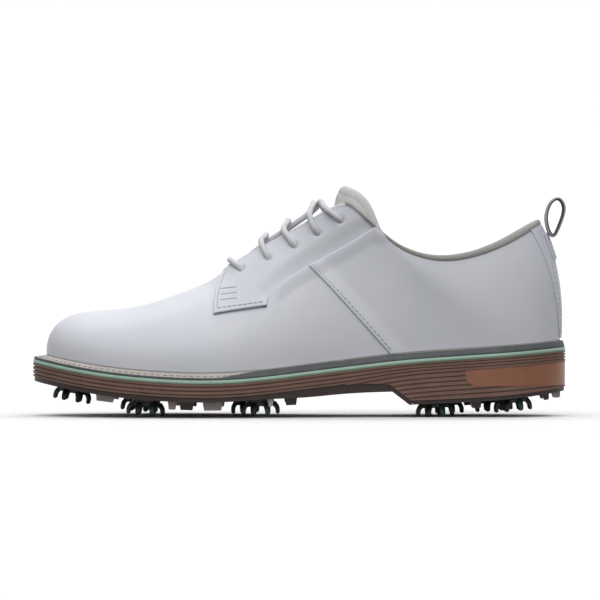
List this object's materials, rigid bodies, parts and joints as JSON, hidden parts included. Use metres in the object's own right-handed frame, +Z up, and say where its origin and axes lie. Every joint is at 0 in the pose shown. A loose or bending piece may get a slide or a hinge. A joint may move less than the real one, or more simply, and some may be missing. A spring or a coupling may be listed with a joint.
{
  "type": "golf shoe",
  "caption": "Left low-cut golf shoe with a welted grooved sole, soft twist-in cleats, plain toe, laced open throat and a heel pull loop.",
  "frame": {"origin": "on the ground plane under the middle of the bounding box, where the cleat tips touch", "axes": "+X from the toe towards the heel, +Y towards the medial side, +Z up"},
  "size_m": [0.305, 0.1085, 0.1313],
  "materials": {
    "aglet": "clear white film",
    "bead": "satin mint",
    "binding": "grey-beige woven tape",
    "board": "leather board",
    "cleat_claw": "dark green polyurethane",
    "cleat_post": "moulded nylon",
    "cork": "cork",
    "eyelet_metal": "matt",
    "foam": "open-cell foam",
    "footbed_cover": "knit",
    "footbed_foam": "moulded foam",
    "inlay": "satin tan",
    "lace": "round braided polyester",
    "lining": "moisture-wicking textile",
    "lug_dark": "satin",
    "lug_light": "satin",
    "midsole": "matt brown, grooved",
    "outsole": "matt dark brown",
    "shank": "spring steel",
    "socket": "moulded nylon",
    "stiffener": "thermoplastic sheet",
    "webbing": "woven webbing",
    "welt": "matt beige-grey, stitched",
    "white_leather": "smooth waterproof full-grain leather, satin"
  },
  "bodies": {
    "shoe": {"cleat_sockets": "socket", "collar_binding": "binding", "collar_padding": "foam", "cork_filler": "cork", "eyelet_rings_lateral": "eyelet_metal", "eyelet_rings_medial": "eyelet_metal", "facing_lateral": "white_leather", "facing_medial": "white_leather", "footbed_cover_front": "footbed_cover", "footbed_front": "footbed_foam", "heel_backstay": "white_leather", "heel_block": "midsole", "heel_counter": "stiffener", "heel_inlay": "inlay", "heel_top_lift": "outsole", "insole_board": "board", "lace": "lace", "lace_aglet_lateral": "aglet", "lace_aglet_medial": "aglet", "midsole": "midsole", "outsole": "outsole", "pull_loop_tab": "webbing", "quarter_lateral": "white_leather", "quarter_lining": "lining", "quarter_medial": "white_leather", "shank": "shank", "toe_puff": "stiffener", "tongue": "white_leather", "tongue_padding": "foam", "traction_lugs_dark": "lug_dark", "traction_lugs_light": "lug_light", "vamp": "white_leather", "vamp_lining": "lining", "welt": "welt", "welt_bead": "bead"},
    "cleat_1": {"cleat_1_claw": "cleat_claw", "cleat_1_post": "cleat_post"},
    "cleat_2": {"cleat_2_claw": "cleat_claw", "cleat_2_post": "cleat_post"},
    "cleat_3": {"cleat_3_claw": "cleat_claw", "cleat_3_post": "cleat_post"},
    "cleat_4": {"cleat_4_claw": "cleat_claw", "cleat_4_post": "cleat_post"},
    "cleat_5": {"cleat_5_claw": "cleat_claw", "cleat_5_post": "cleat_post"},
    "cleat_6": {"cleat_6_claw": "cleat_claw", "cleat_6_post": "cleat_post"},
    "cleat_7": {"cleat_7_claw": "cleat_claw", "cleat_7_post": "cleat_post"},
    "cleat_8": {"cleat_8_claw": "cleat_claw", "cleat_8_post": "cleat_post"},
    "cleat_9": {"cleat_9_claw": "cleat_claw", "cleat_9_post": "cleat_post"},
    "footbed_lift": {"footbed_cover_rear": "footbed_cover", "footbed_rear": "footbed_foam"},
    "pull_loop_body": {"pull_loop": "webbing"}
  },
  "joints": [
    {"name": "cleat_1_twist", "type": "hinge", "parent": "shoe", "child": "cleat_1", "pos_m": [-0.129, 0.003, 0.01549], "axis": [-0.1774, 0, -0.9841], "range_deg": [0, 60]},
    {"name": "cleat_2_twist", "type": "hinge", "parent": "shoe", "child": "cleat_2", "pos_m": [-0.08611, -0.03, 0.00865], "axis": [-0.0758, 0, -0.9971], "range_deg": [0, 60]},
    {"name": "cleat_3_twist", "type": "hinge", "parent": "shoe", "child": "cleat_3", "pos_m": [-0.09212, 0.031, 0.00914], "axis": [-0.0872, 0, -0.9962], "range_deg": [0, 60]},
    {"name": "cleat_4_twist", "type": "hinge", "parent": "shoe", "child": "cleat_4", "pos_m": [-0.02191, -0.031, 0.0088], "axis": [0.0612, 0, -0.9981], "range_deg": [0, 60]},
    {"name": "cleat_5_twist", "type": "hinge", "parent": "shoe", "child": "cleat_5", "pos_m": [-0.02889, 0.027, 0.0083], "axis": [0.0773, 0, -0.997], "range_deg": [0, 60]},
    {"name": "cleat_6_twist", "type": "hinge", "parent": "shoe", "child": "cleat_6", "pos_m": [0.077, -0.019, 0.00764], "axis": [0.0418, 0, -0.9991], "range_deg": [0, 60]},
    {"name": "cleat_7_twist", "type": "hinge", "parent": "shoe", "child": "cleat_7", "pos_m": [0.084, 0.019, 0.00795], "axis": [0.0456, 0, -0.999], "range_deg": [0, 60]},
    {"name": "cleat_8_twist", "type": "hinge", "parent": "shoe", "child": "cleat_8", "pos_m": [0.121, -0.016, 0.01038], "axis": [0.0992, 0, -0.9951], "range_deg": [0, 60]},
    {"name": "cleat_9_twist", "type": "hinge", "parent": "shoe", "child": "cleat_9", "pos_m": [0.112, 0.018, 0.00958], "axis": [0.078, 0, -0.997], "range_deg": [0, 60]},
    {"name": "pull_loop_fold", "type": "hinge", "parent": "shoe", "child": "pull_loop_body", "pos_m": [0.1414, 0, 0.1125], "axis": [0, -1, 0], "range_deg": [-4, 50], "stiffness_Nm_per_rad": 0.004},
    {"name": "footbed_lift_hinge", "type": "hinge", "parent": "shoe", "child": "footbed_lift", "pos_m": [-0.03, 0, 0.03372], "axis": [0, -1, 0], "range_deg": [0, 9]}
  ]
}
